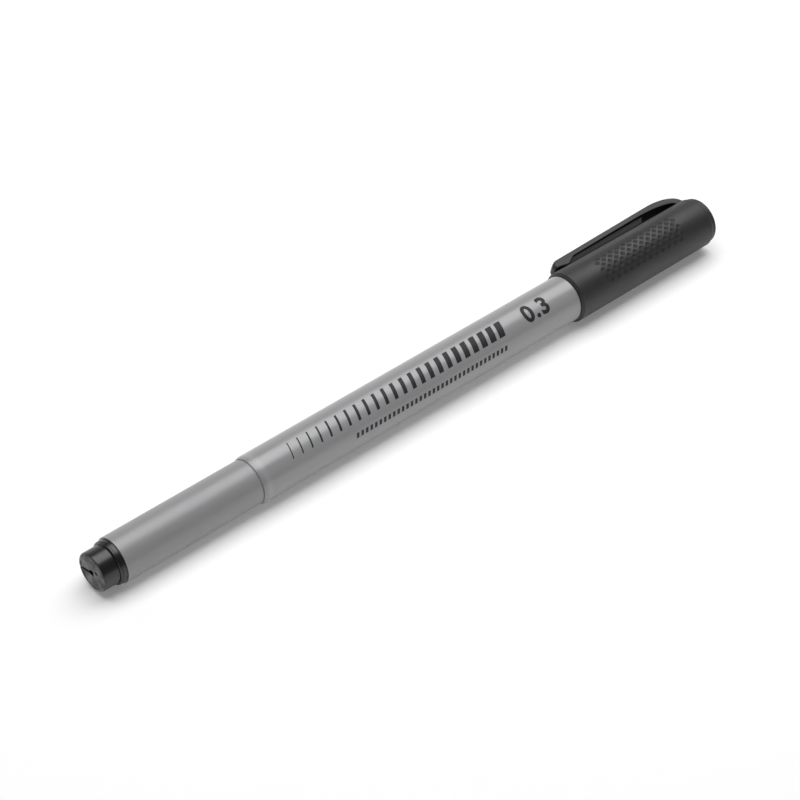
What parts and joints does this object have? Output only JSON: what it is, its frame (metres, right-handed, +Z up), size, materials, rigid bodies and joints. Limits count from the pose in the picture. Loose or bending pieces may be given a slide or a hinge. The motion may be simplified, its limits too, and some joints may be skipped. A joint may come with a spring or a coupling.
{
  "type": "fineliner pen",
  "caption": "Slim capped fineliner pen: stepped round barrel with tail plug and ink reservoir, fine nib in a steel sleeve, and a pull-off cap with a sprung clip.",
  "frame": {"origin": "on the pen's axis, in the plane of the tail plug's end face", "axes": "+X along the axis from the tail to the cap's closed end, +Z up from the surface the pen lies on; the clip is rolled 75 degrees from +Z towards +Y"},
  "size_m": [0.1392, 0.012, 0.0096],
  "materials": {
    "barrel_grey": "satin silver-grey moulded plastic",
    "plug_black": "semi-gloss black moulded plastic",
    "fibre": "bonded polyester fibre",
    "film": "thin wrap film",
    "section_black": "satin black moulded plastic",
    "steel": "drawn stainless tube",
    "nib_polymer": "ink-stained acetal",
    "cap_black": "satin charcoal moulded plastic",
    "liner": "natural polyethylene"
  },
  "bodies": {
    "pen": {"barrel": "barrel_grey", "tail_plug": "plug_black", "ink_reservoir": "fibre", "reservoir_film": "film", "nib_section": "section_black", "feed_rod": "fibre", "nib_sleeve": "steel", "nib_core": "nib_polymer"},
    "cap": {"cap_shell": "cap_black", "inner_cap": "liner", "cap_end_plug": "cap_black"},
    "clip": {"clip": "cap_black"}
  },
  "joints": [
    {"name": "cap_pull", "type": "slide", "parent": "pen", "child": "cap", "axis": [1, 0, 0], "range_m": [0, 0.045]},
    {"name": "clip_flex", "type": "hinge", "parent": "cap", "child": "clip", "pos_m": [0.1384, 0.00431, 0.00115], "axis": [0, 0.2588, -0.9659], "range_deg": [0, 3], "stiffness_Nm_per_rad": 3}
  ]
}
